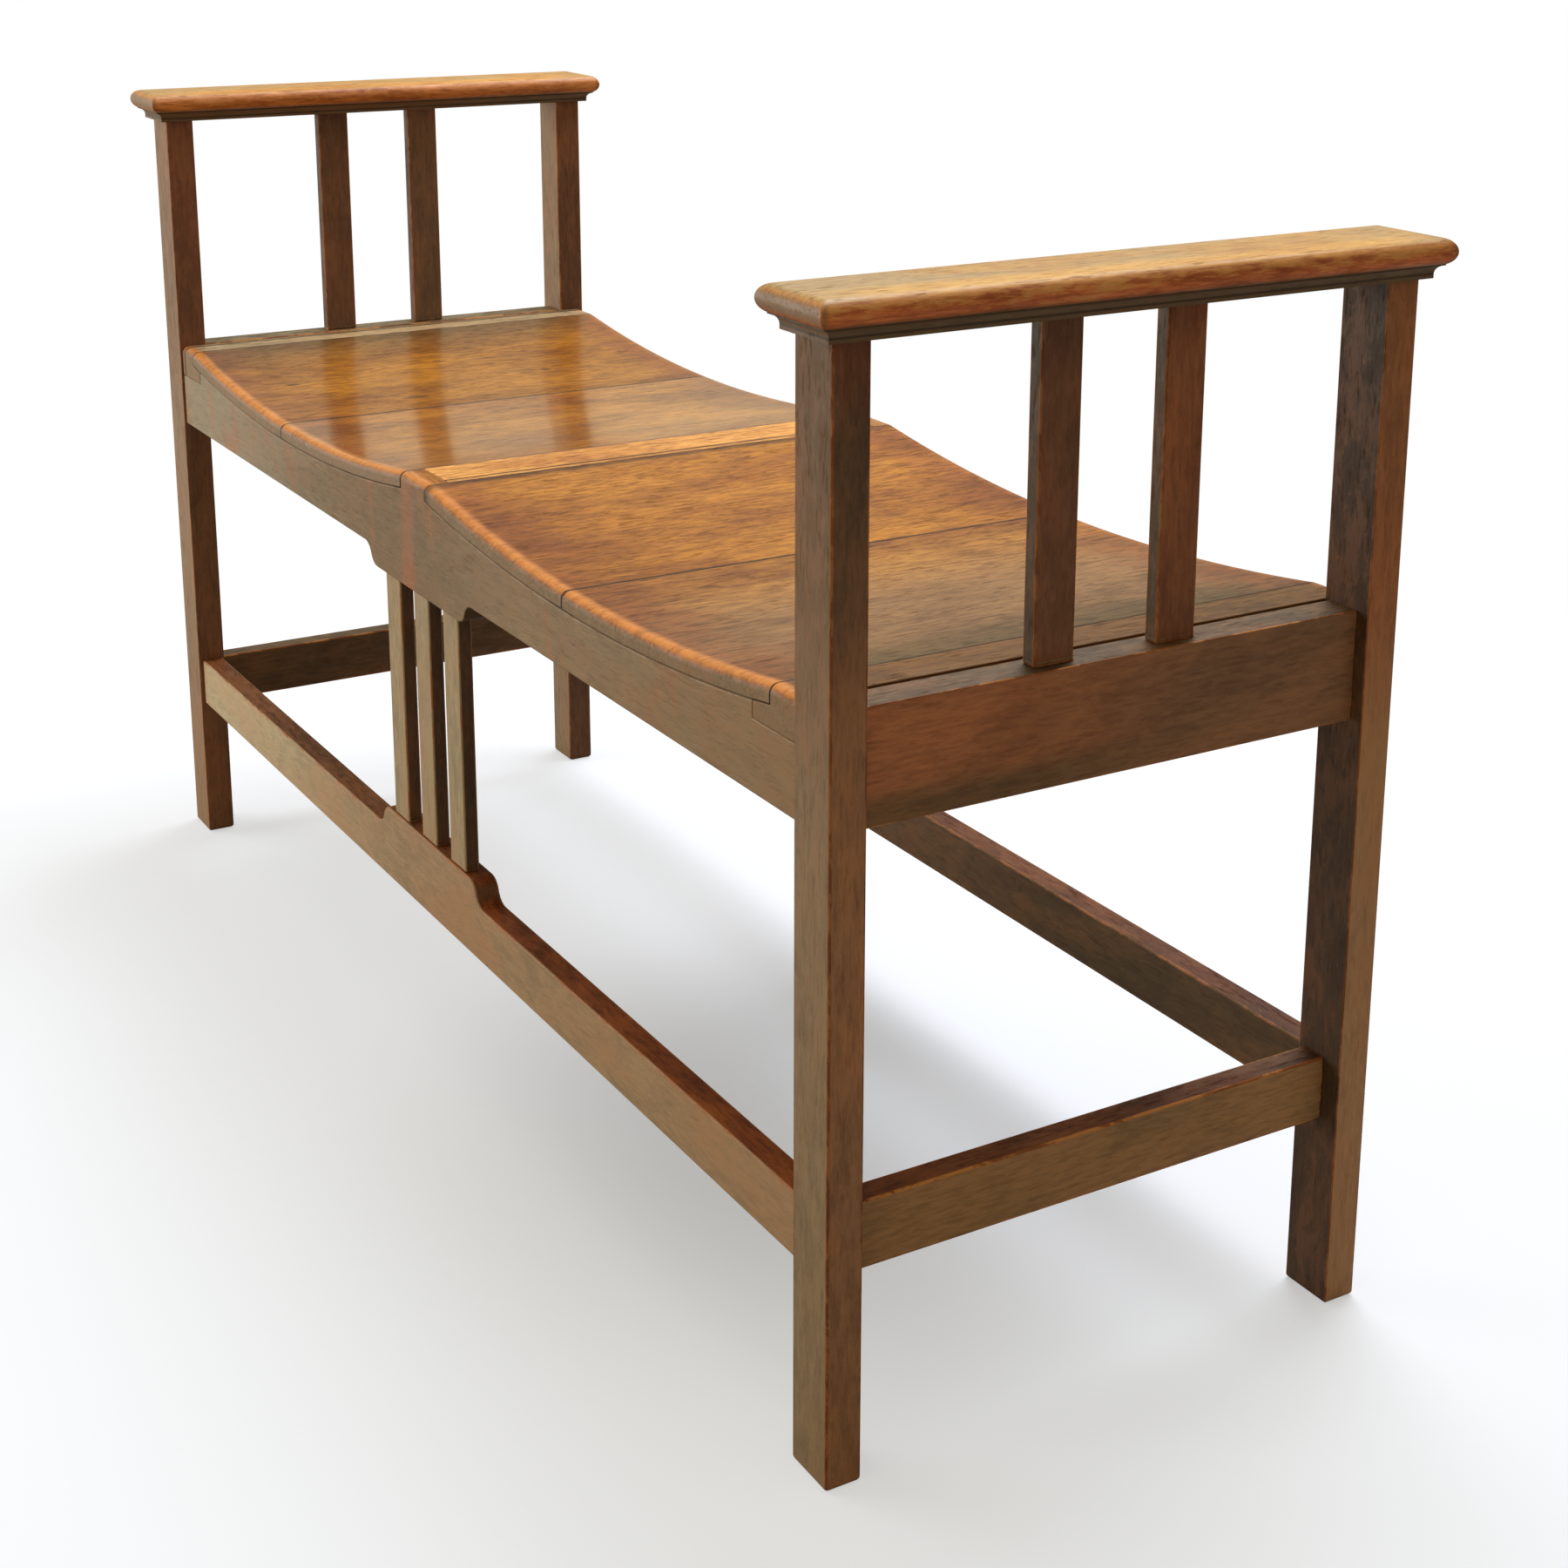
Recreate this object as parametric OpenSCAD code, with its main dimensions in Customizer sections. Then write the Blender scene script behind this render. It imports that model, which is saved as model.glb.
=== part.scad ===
// Oak window bench. Four rectangular posts carry two moulded arm rails, and a seat of
// thin curved boards dips twice, on each side of a flat strip at the middle.
// Each long side has a low stretcher, with three upright slats below the seat rail.
// Millimetres, +Z up, +X along the bench, and the front long side faces -Y.
// The origin is on the floor, at the centre of the bench.

/* [Overall] */
// Length over the posts
bench_l = 1204; // [1000:1:1500]
// Depth over the posts
bench_d = 407; // [340:1:520]
// Height from the floor to the underside of the arm rails
arm_h = 683; // [600:1:780]
// Height of the seat at its ends and at the middle strip
seat_h = 477; // [420:1:520]

/* [Posts] */
// Width of a post along the bench
post_w = 39; // [36:0.5:60]
// Depth of a post from front to back
post_d = 24; // [22:0.5:40]
// Radius round the lower edges of a foot
foot_r = 3; // [1:0.5:6]
// Length of the tenon on top of a post
post_tenon_l = 18; // [10:0.5:20]
// Shoulder round the tenon on top of a post
post_tenon_shoulder = 6; // [3:0.5:8]

/* [Arm rails] */
// Thickness of an arm rail
arm_t = 24.5; // [24:0.5:36]
// How far the nosing of an arm rail stands out past the posts
arm_overhang = 16; // [13:0.5:24]
// How far the fillet under the nosing stands out past the posts
arm_fillet_out = 5.8; // [3:0.1:7]
// Height of the fillet
arm_fillet_h = 2.8; // [1.5:0.1:4]
// Radius of the cove between the fillet and the nosing
arm_cove_r = 5.3; // [3:0.1:6]

/* [Arm slats] */
// Width of an arm slat
arm_slat_w = 28.5; // [20:0.5:40]
// Thickness of an arm slat
arm_slat_t = 11.4; // [9:0.2:15]
// Clear space between the two slats of an arm
arm_slat_gap = 59.5; // [40:0.5:90]
// Distance from the outer face of the end rail in to the slats
arm_slat_setback = 8; // [4:0.5:10]

/* [End rails] */
// Height of an end rail
end_rail_w = 71.5; // [55:0.5:90]
// Thickness of an end rail
end_rail_t = 25; // [22:0.5:28]
// Distance from the end of the bench in to the face of the end rail
end_rail_setback = 9.7; // [5:0.1:10]

/* [End stretchers] */
// Height of an end stretcher
end_stretcher_w = 44; // [30:0.5:60]
// Thickness of an end stretcher
end_stretcher_t = 19; // [14:0.5:22]
// Distance from the end of the bench in to the face of the end stretcher
end_stretcher_setback = 15; // [8:0.5:17]
// Height of the underside of an end stretcher
end_stretcher_h = 129; // [80:1:200]

/* [Seat rails] */
// Height of a seat rail at its ends, up to the seat
seat_rail_w = 72; // [60:0.5:90]
// Thickness of a seat rail
seat_rail_t = 19; // [16:0.5:24]
// Distance from the face of the posts in to the face of the seat rail
seat_rail_setback = 2; // [0:0.5:4]
// How far the middle of a seat rail reaches down
seat_rail_drop = 16; // [8:0.5:24]

/* [Long stretchers] */
// Height of a long stretcher at its ends
stretcher_w = 42.5; // [30:0.5:60]
// Thickness of a long stretcher
stretcher_t = 19; // [16:0.5:24]
// Distance from the face of the posts in to the face of the stretcher
stretcher_setback = 3.5; // [0:0.5:5]
// Height of the underside of a long stretcher
stretcher_h = 131; // [80:1:200]
// How far the middle of a long stretcher rises
stretcher_rise = 17.5; // [8:0.5:24]
// Length of the straight edge at the middle of the rails and stretchers
centre_l = 160; // [150:1:260]
// Length of the curved step at each end of that edge
ogee_l = 24; // [16:1:50]

/* [Centre slats] */
// Width of a centre slat
slat_w = 28.5; // [20:0.5:36]
// Thickness of a centre slat
slat_t = 11; // [9:0.2:13]
// Distance between the middles of neighbouring slats
slat_pitch = 56; // [42:0.5:60]
// Distance from the face of the posts in to the slats
slat_setback = 5.5; // [5:0.5:9]

/* [Seat] */
// Thickness of the seat boards
board_t = 12; // [9:0.5:15]
// Depth of each dip in the seat
dip = 19; // [8:0.5:22]
// Radius along the front and rear edges of the seat
seat_edge_r = 6; // [2:0.5:8]
// Width of the middle strip
divider_w = 47; // [36:1:70]
// Width of the strip at each end of the seat
strip_w = 30; // [22:1:45]
// Thickness of the bearers under the ends of the boards
bearer_t = 26; // [22:0.5:32]
// Width of the ledge that carries the ends of the boards
ledge_w = 20; // [12:1:30]
// Width of the left board next to the middle strip
left_inner_w = 270; // [180:1:300]
// Width of the right board next to the middle strip
right_inner_w = 234; // [180:1:300]

/* [Joints] */
// Thickness of the tenons on rails and stretchers
tenon_t = 8; // [6:0.5:9]
// Shoulder above and below the tenons on rails and stretchers
tenon_shoulder = 5; // [2:0.5:8]
// Cheek outside the tenons of the end rails and end stretchers
tenon_cheek = 3; // [2:0.5:4]
// Length of the tenons of the end rails and end stretchers
end_tenon_l = 16; // [10:0.5:18]
// Wood left in a post between two mortises that meet at a corner
mortise_web = 1.5; // [1:0.1:2]
// Thickness of the tenons on slats and on the middle bearer
slat_tenon_t = 6; // [4:0.5:8]
// Length of the tenons on slats and on the middle bearer
slat_tenon_l = 10; // [6:0.5:12]
// Shoulder at each edge of those tenons
slat_tenon_shoulder = 4; // [2:0.5:6]
// Clearance round a tenon and under the boards
fit = 0.2; // [0.1:0.05:0.4]

/* [Hidden] */

// Overrun of a cut past the face that it opens, and of a tenon back into its own piece
over = 1;
// Facets of the small round shapes, and of the wide arcs of the seat
$fn = 48;
arc_fn = 1440;

// Faces of the posts
half_l = bench_l / 2;
half_d = bench_d / 2;
post_in_x = half_l - post_w;
post_in_y = half_d - post_d;
post_mid_x = half_l - post_w / 2;
post_mid_y = half_d - post_d / 2;

// Moulding of the arm rails, measured out from the posts and up from the underside
cove_out = arm_fillet_out + arm_cove_r;
nosing_z = arm_fillet_h + arm_cove_r;
nosing_r = (arm_t - nosing_z) / 2;

// Faces of the end rails, end stretchers and arm slats
end_rail_x = half_l - end_rail_setback;
end_rail_z = seat_h - end_rail_w;
end_stretcher_x = half_l - end_stretcher_setback;
arm_slat_x = end_rail_x - arm_slat_setback;
arm_slat_y = (arm_slat_gap + arm_slat_w) / 2;

// Faces of the seat rails, long stretchers and centre slats
seat_y = half_d - seat_rail_setback;
seat_in_y = seat_y - seat_rail_t;
seat_rail_z = seat_h - seat_rail_w;
stretcher_y = half_d - stretcher_setback;
slat_y = half_d - slat_setback;
slat_bottom_z = stretcher_h + stretcher_w + stretcher_rise;
slat_top_z = seat_rail_z - seat_rail_drop;

// Seat: edges of the boards along the bench, and the circle of each dip
divider_x = divider_w / 2;
strip_x = post_in_x - strip_w;
ledge_x = strip_x - ledge_w;
bearer_z = seat_h - bearer_t;
dip_mid_x = (divider_x + strip_x) / 2;
dip_half = (strip_x - divider_x) / 2;
dip_r = (dip_half * dip_half + dip * dip) / (2 * dip);
dip_z = seat_h - dip + dip_r;

// Tenons along the bench end where the tenons across it begin
seat_rail_tenon_l = end_rail_x - tenon_cheek - tenon_t - mortise_web - post_in_x;
stretcher_tenon_l = end_stretcher_x - tenon_cheek - tenon_t - mortise_web - post_in_x;
seat_rail_tenon_h = bearer_z - seat_rail_z - 2 * tenon_shoulder;

// Oak of the frame and of the seat
frame_oak = [0.40, 0.27, 0.17];
arm_oak = [0.60, 0.40, 0.20];
seat_oak = [0.62, 0.38, 0.18];

// Puts a shape of the rear right quarter on another side
module on_side(x_side, y_side) {
    mirror([x_side < 0 ? 1 : 0, 0, 0])
        mirror([0, y_side < 0 ? 1 : 0, 0])
            children();
}

// Extrudes an outline drawn in X and Z across the bench, centred
module across(depth) {
    rotate([90, 0, 0])
        linear_extrude(height = depth, center = true)
            children();
}

// Extrudes an outline drawn in Y and Z along the bench, centred
module along(length) {
    rotate([90, 0, 90])
        linear_extrude(height = length, center = true)
            children();
}

// A block given by its lowest and highest corners
module block(low, high) {
    translate(low)
        cube(high - low);
}

// Outline of a post from one side, with rounded lower corners
module post_outline(width) {
    translate([-width / 2, foot_r])
        square([width, arm_h - foot_r]);
    translate([foot_r - width / 2, 0])
        square([width - 2 * foot_r, foot_r]);
    for (side = [-1, 1])
        translate([side * (width / 2 - foot_r), foot_r])
            circle(r = foot_r);
}

// Tenon on top of a post, in the rear right quarter
module post_tenon(gap) {
    inset = post_tenon_shoulder - gap;
    block([post_in_x + inset, post_in_y + inset, arm_h - over],
          [half_l - inset, half_d - inset, arm_h + post_tenon_l + gap]);
}

// Tenon of a seat rail in the rear right quarter
module seat_rail_tenon(gap) {
    middle = seat_y - seat_rail_t / 2;
    half = tenon_t / 2 + gap;
    low = seat_rail_z + tenon_shoulder;
    block([post_in_x - over, middle - half, low - gap],
          [post_in_x + seat_rail_tenon_l + gap, middle + half, low + seat_rail_tenon_h + gap]);
}

// Tenon of a long stretcher in the rear right quarter
module stretcher_tenon(gap) {
    middle = stretcher_y - stretcher_t / 2;
    half = tenon_t / 2 + gap;
    inset = tenon_shoulder - gap;
    block([post_in_x - over, middle - half, stretcher_h + inset],
          [post_in_x + stretcher_tenon_l + gap, middle + half, stretcher_h + stretcher_w - inset]);
}

// Tenon of an end rail or an end stretcher, whose face, underside and height are given
module end_tenon(face, underside, height, gap) {
    inset = tenon_shoulder - gap;
    block([face - tenon_cheek - tenon_t - gap, post_in_y - over, underside + inset],
          [face - tenon_cheek + gap, post_in_y + end_tenon_l + gap, underside + height - inset]);
}

// A post stands in the rear right quarter, with its mortises
module post(tint) {
    color(tint) {
        difference() {
            intersection() {
                translate([post_mid_x, post_mid_y, 0])
                    across(post_d)
                        post_outline(post_w);
                translate([post_mid_x, post_mid_y, 0])
                    along(post_w)
                        post_outline(post_d);
            }
            seat_rail_tenon(fit);
            stretcher_tenon(fit);
            end_tenon(end_rail_x, end_rail_z, end_rail_w, fit);
            end_tenon(end_stretcher_x, end_stretcher_h, end_stretcher_w, fit);
        }
        post_tenon(0);
    }
}

// Section of an arm rail over a core of the given width: fillet, cove and half round nosing
module arm_section(core) {
    edge = core / 2;
    translate([-edge - arm_fillet_out, 0])
        square([core + 2 * arm_fillet_out, arm_fillet_h]);
    difference() {
        translate([-edge - cove_out, arm_fillet_h])
            square([core + 2 * cove_out, arm_cove_r]);
        for (side = [-1, 1])
            translate([side * (edge + cove_out), arm_fillet_h])
                circle(r = arm_cove_r);
    }
    nose = edge + arm_overhang - nosing_r;
    translate([-nose, nosing_z])
        square([2 * nose, arm_t - nosing_z]);
    for (side = [-1, 1])
        translate([side * nose, nosing_z + nosing_r])
            circle(r = nosing_r);
}

// Slat with a tenon at both ends. It stands on Z = 0, its face at Y = 0 and its body behind
module slat_blank(width, thick, height, gap) {
    if (gap == 0)
        block([-width / 2, -thick, 0], [width / 2, 0, height]);
    half = width / 2 - slat_tenon_shoulder + gap;
    block([-half, -thick / 2 - slat_tenon_t / 2 - gap, -slat_tenon_l - gap],
          [half, -thick / 2 + slat_tenon_t / 2 + gap, height + slat_tenon_l + gap]);
}

// Slat of the right arm, front or rear
module arm_slat_body(y_side, gap) {
    translate([arm_slat_x, y_side * arm_slat_y, seat_h])
        rotate([0, 0, -90])
            slat_blank(arm_slat_w, arm_slat_t, arm_h - seat_h, gap);
}

module arm_slat(y_side) {
    color(frame_oak)
        arm_slat_body(y_side, 0);
}

// Arm rail of the right end, moulded on all four edges, over mortises for posts and slats
module arm_rail() {
    color(arm_oak)
        difference() {
            translate([post_mid_x, 0, arm_h])
                intersection() {
                    across(bench_d + 2 * arm_overhang + 2 * over)
                        arm_section(post_w);
                    along(post_w + 2 * arm_overhang + 2 * over)
                        arm_section(bench_d);
                }
            for (y_side = [-1, 1]) {
                on_side(1, y_side)
                    post_tenon(fit);
                arm_slat_body(y_side, fit);
            }
        }
}

// Bar of the right end between the posts, tenoned into both
module end_bar(face, underside, height, thick) {
    block([face - thick, -post_in_y, underside], [face, post_in_y, underside + height]);
    for (y_side = [-1, 1])
        on_side(1, y_side)
            end_tenon(face, underside, height, 0);
}

module end_rail() {
    color(frame_oak)
        difference() {
            end_bar(end_rail_x, end_rail_z, end_rail_w, end_rail_t);
            for (y_side = [-1, 1])
                arm_slat_body(y_side, fit);
        }
}

module end_stretcher() {
    color(frame_oak)
        end_bar(end_stretcher_x, end_stretcher_h, end_stretcher_w, end_stretcher_t);
}

// Space that the right boards fill between the strips, down to a clearance below them
module dip_space() {
    intersection() {
        translate([dip_mid_x, 0, dip_z])
            rotate([90, 0, 0])
                cylinder(r = dip_r + board_t + fit, h = bench_d, center = true, $fn = arc_fn);
        block([divider_x, -half_d, seat_rail_z], [strip_x, half_d, seat_h + over]);
    }
}

// Material that is cut away along the rear edge of the seat to round it
module seat_edge_cut() {
    difference() {
        block([-post_in_x, seat_y - seat_edge_r, seat_h - seat_edge_r],
              [post_in_x, seat_y + over, seat_h + over]);
        translate([0, seat_y - seat_edge_r, seat_h - seat_edge_r])
            rotate([0, 90, 0])
                cylinder(r = seat_edge_r, h = bench_l, center = true);
    }
}

// Bearer of the right end, from the front face of the seat to the rear face
module end_bearer() {
    color(seat_oak)
        difference() {
            block([ledge_x, -seat_y, bearer_z], [post_in_x, seat_y, seat_h]);
            dip_space();
            for (y_side = [-1, 1])
                on_side(1, y_side)
                    seat_edge_cut();
        }
}

// Tenons of the middle bearer, one in each seat rail
module middle_bearer_tenons(gap) {
    half = divider_x - slat_tenon_shoulder + gap;
    reach = seat_in_y + slat_tenon_l + gap;
    low = bearer_z + slat_tenon_shoulder;
    block([-half, -reach, low - gap], [half, reach, low + slat_tenon_t + gap]);
}

// Bearer under the middle strip, with a ledge for the boards at each side
module middle_bearer() {
    color(seat_oak) {
        difference() {
            block([-divider_x - ledge_w, -seat_in_y, bearer_z],
                  [divider_x + ledge_w, seat_in_y, seat_h]);
            for (x_side = [-1, 1])
                on_side(x_side, 1)
                    dip_space();
        }
        middle_bearer_tenons(0);
    }
}

// Curved step of the given height. The edge falls from the left, round first and then hollow
module ogee(height) {
    half = ogee_l / 2;
    r = (ogee_l * ogee_l + height * height) / (4 * height);
    polygon([[0, 0], [half, 0], [half, height / 2], [0, height]]);
    intersection() {
        translate([0, height - r])
            circle(r = r);
        square([half, height]);
    }
    difference() {
        translate([half, 0])
            square([half, height / 2]);
        translate([ogee_l, r])
            circle(r = r);
    }
}

// Raised middle of an edge, with a curved step at each end
module raised_edge(height) {
    translate([-centre_l / 2, 0])
        square([centre_l, height]);
    for (x_side = [0, 1])
        mirror([x_side, 0])
            translate([centre_l / 2, 0])
                ogee(height);
}

// The three centre slats of the rear side
module centre_slat_body(place, gap) {
    translate([place * slat_pitch, slat_y, slat_bottom_z])
        slat_blank(slat_w, slat_t, slat_top_z - slat_bottom_z, gap);
}

module centre_slat(place) {
    color(frame_oak)
        centre_slat_body(place, 0);
}

// Seat rail of the rear side. Its upper edge carries the boards and is notched for the bearers
module seat_rail() {
    color(frame_oak) {
        difference() {
            translate([0, seat_y - seat_rail_t / 2, seat_rail_z])
                across(seat_rail_t) {
                    translate([-post_in_x, 0])
                        square([2 * post_in_x, seat_rail_w]);
                    mirror([0, 1])
                        raised_edge(seat_rail_drop);
                }
            for (x_side = [-1, 1])
                on_side(x_side, 1) {
                    dip_space();
                    block([ledge_x, -half_d, bearer_z], [half_l, half_d, seat_h + over]);
                }
            for (place = [-1, 0, 1])
                centre_slat_body(place, fit);
            middle_bearer_tenons(fit);
            seat_edge_cut();
        }
        for (x_side = [-1, 1])
            on_side(x_side, 1)
                seat_rail_tenon(0);
    }
}

// Long stretcher of the rear side, with its middle raised under the slats
module stretcher() {
    color(frame_oak) {
        difference() {
            translate([0, stretcher_y - stretcher_t / 2, stretcher_h])
                across(stretcher_t) {
                    translate([-post_in_x, 0])
                        square([2 * post_in_x, stretcher_w]);
                    translate([0, stretcher_w])
                        raised_edge(stretcher_rise);
                }
            for (place = [-1, 0, 1])
                centre_slat_body(place, fit);
        }
        for (x_side = [-1, 1])
            on_side(x_side, 1)
                stretcher_tenon(0);
    }
}

// Section of the boards, radius along X and depth of the bench along Y
module board_section() {
    difference() {
        translate([dip_r, -seat_y])
            square([board_t, 2 * seat_y]);
        for (y_side = [0, 1])
            mirror([0, y_side])
                difference() {
                    translate([dip_r - over, seat_y - seat_edge_r])
                        square([seat_edge_r + over, seat_edge_r + over]);
                    translate([dip_r + seat_edge_r, seat_y - seat_edge_r])
                        circle(r = seat_edge_r);
                }
    }
}

// Board of the right dip between two places along the bench
module seat_board(from_x, to_x) {
    sweep = 4 * asin(dip_half / dip_r);
    color(seat_oak)
        intersection() {
            translate([dip_mid_x, 0, dip_z])
                rotate([90, 0, 0])
                    rotate([0, 0, -90 - sweep / 2])
                        rotate_extrude(angle = sweep, $fn = arc_fn)
                            board_section();
            block([from_x + fit / 2, -half_d, seat_rail_z], [to_x - fit / 2, half_d, seat_h + over]);
        }
}

on_side(-1, -1) post(frame_oak);  // post_front_left
on_side(1, -1) post(frame_oak);  // post_front_right
on_side(-1, 1) post(frame_oak);  // post_rear_left
on_side(1, 1) post(frame_oak);  // post_rear_right
on_side(-1, 1) arm_rail();  // arm_rail_left
on_side(1, 1) arm_rail();  // arm_rail_right
on_side(-1, 1) arm_slat(-1);  // arm_slat_left_front
on_side(-1, 1) arm_slat(1);  // arm_slat_left_rear
on_side(1, 1) arm_slat(-1);  // arm_slat_right_front
on_side(1, 1) arm_slat(1);  // arm_slat_right_rear
on_side(-1, 1) end_rail();  // end_rail_left
on_side(1, 1) end_rail();  // end_rail_right
on_side(-1, 1) end_stretcher();  // end_stretcher_left
on_side(1, 1) end_stretcher();  // end_stretcher_right
on_side(1, -1) seat_rail();  // seat_rail_front
on_side(1, 1) seat_rail();  // seat_rail_rear
on_side(1, -1) stretcher();  // stretcher_front
on_side(1, 1) stretcher();  // stretcher_rear
on_side(1, -1) centre_slat(-1);  // front_slat_left
on_side(1, -1) centre_slat(0);  // front_slat_middle
on_side(1, -1) centre_slat(1);  // front_slat_right
on_side(1, 1) centre_slat(-1);  // rear_slat_left
on_side(1, 1) centre_slat(0);  // rear_slat_middle
on_side(1, 1) centre_slat(1);  // rear_slat_right
on_side(-1, 1) end_bearer();  // seat_bearer_left
middle_bearer();  // seat_bearer_middle
on_side(1, 1) end_bearer();  // seat_bearer_right
on_side(-1, 1) seat_board(divider_x + left_inner_w, strip_x);  // seat_board_left_outer
on_side(-1, 1) seat_board(divider_x, divider_x + left_inner_w);  // seat_board_left_inner
on_side(1, 1) seat_board(divider_x, divider_x + right_inner_w);  // seat_board_right_inner
on_side(1, 1) seat_board(divider_x + right_inner_w, strip_x);  // seat_board_right_outer
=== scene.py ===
import math

import bpy
from mathutils import Matrix, Vector


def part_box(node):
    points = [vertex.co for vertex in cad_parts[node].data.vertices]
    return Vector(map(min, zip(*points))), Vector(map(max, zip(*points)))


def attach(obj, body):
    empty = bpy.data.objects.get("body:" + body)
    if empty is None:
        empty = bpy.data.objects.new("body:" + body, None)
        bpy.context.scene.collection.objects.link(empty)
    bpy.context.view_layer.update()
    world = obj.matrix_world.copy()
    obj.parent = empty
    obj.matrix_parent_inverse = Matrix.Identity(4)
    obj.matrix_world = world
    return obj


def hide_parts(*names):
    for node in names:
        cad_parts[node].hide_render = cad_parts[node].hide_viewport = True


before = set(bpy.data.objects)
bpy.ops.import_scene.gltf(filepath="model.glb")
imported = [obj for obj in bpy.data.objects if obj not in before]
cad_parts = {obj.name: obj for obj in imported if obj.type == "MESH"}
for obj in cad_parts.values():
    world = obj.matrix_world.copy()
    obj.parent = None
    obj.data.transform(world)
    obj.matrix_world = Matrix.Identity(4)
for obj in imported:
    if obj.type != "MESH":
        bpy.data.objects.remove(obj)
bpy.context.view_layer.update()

# Camera, matched to the photograph. Places are in metres and angles in degrees
PHOTO_WIDTH = 1800
FOCAL_PIXELS = 2874.2
AXIS_PIXEL = (974.9, 572.9)
CAMERA_PLACE = (1.6853, -0.8531, 0.9328)
CAMERA_AZIMUTH = 58.63
CAMERA_DOWN = 14.77
CAMERA_ROLL = 0.45

# Seat of the bench, from the frame
SEAT_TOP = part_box("seat_bearer_middle")[1].z
SEAT_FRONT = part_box("seat_rail_front")[0].y
BOARD_THICK = 0.012
BOARD_ROUNDING = 0.006
ROUNDING_STEPS = 6
INNER_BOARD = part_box("seat_board_right_inner")
OUTER_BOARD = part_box("seat_board_right_outer")
DIP_START = INNER_BOARD[0].x
DIP_END = OUTER_BOARD[1].x
DIP_LOW = INNER_BOARD[0].z + BOARD_THICK
DIP_DEPTH = SEAT_TOP - DIP_LOW
DIP_MIDDLE = (DIP_START + DIP_END) / 2
DIP_HALF = (DIP_END - DIP_START) / 2
DIP_RADIUS = (DIP_HALF ** 2 + DIP_DEPTH ** 2) / (2 * DIP_DEPTH)
DIP_STEPS = 72

# Dark lines on the strips across the seat, and the lower edge of the end rails
END_STRIP_LINE = DIP_END + 0.0227
DIVIDER_LINE = DIP_START - 0.006
END_RAIL_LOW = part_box("end_rail_right")[0].z

# Moulding of the arm rails: distance out from the posts and height above the underside
FILLET_OUT = 0.0058
FILLET_HEIGHT = 0.0028
COVE_RADIUS = 0.0053
COVE_TOP = FILLET_HEIGHT + COVE_RADIUS
COVE_STEPS = 8
ARM_LOW, ARM_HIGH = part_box("arm_rail_right")
ARM_THICK = ARM_HIGH.z - ARM_LOW.z
ARM_OVERHANG = ARM_HIGH.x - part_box("post_front_right")[1].x
ARM_CORNER = 0.0015
CORNER_STEPS = 4
NOSING_RADIUS = (ARM_THICK - COVE_TOP) / 2
NOSING_STEPS = 16

# Width of the eased edges of an end rail, another frame piece, a strip, and the ends of a seat board
RAIL_EASE = 0.002
FRAME_EASE = 0.0014
STRIP_EASE = 0.0008
BOARD_EASE = 0.0005

# Angles in degrees: faces that make one plain face, edges sharp enough to be eased, and smooth rounds
PLAIN_ANGLE = 0.4
FRAME_SHARP = 35
BOARD_SHARP = 50
SMOOTH_ANGLE = 38

# Distance within which points are joined, in a node of the frame and in a new piece
NODE_TOUCH = 0.00001
TOUCH = 0.000001

# Finish: depth and strength of the relief of the grain, and roughness of the polish
GRAIN_DEPTH = 0.0002
GRAIN_STRENGTH = 0.5
POLISH_ROUGH = 0.16

# How far the grain moves from one piece to the next, so that no two look the same
GRAIN_SHIFT = (0.37, 0.23, 0.71)

# Light of the room, and the way to the window that makes one side of it brighter
ROOM_LIGHT = (1, 0.91, 0.64, 1)
WINDOW_WAY = (-0.75, -0.55, 0.36)

# Floor: its colour to the camera and to the light, and its share of plain white below and beside the bench.
# The smaller share below the bench paints shade there, over the real shadow
FLOOR_SEEN = (0.795, 0.848, 0.995, 1)
FLOOR_BOUNCE = (0.35, 0.35, 0.35, 1)
WHITE_BELOW = 0.16
WHITE_BESIDE = 0.54
WHITE = (1, 1, 1, 1)


def paint(red, green, blue):
    """A colour as the eye reads it, from 0 to 255, made linear."""
    parts = []
    for value in (red, green, blue):
        share = value / 255
        parts.append(share / 12.92 if share < 0.04045 else ((share + 0.055) / 1.055) ** 2.4)
    return (*parts, 1)


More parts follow.
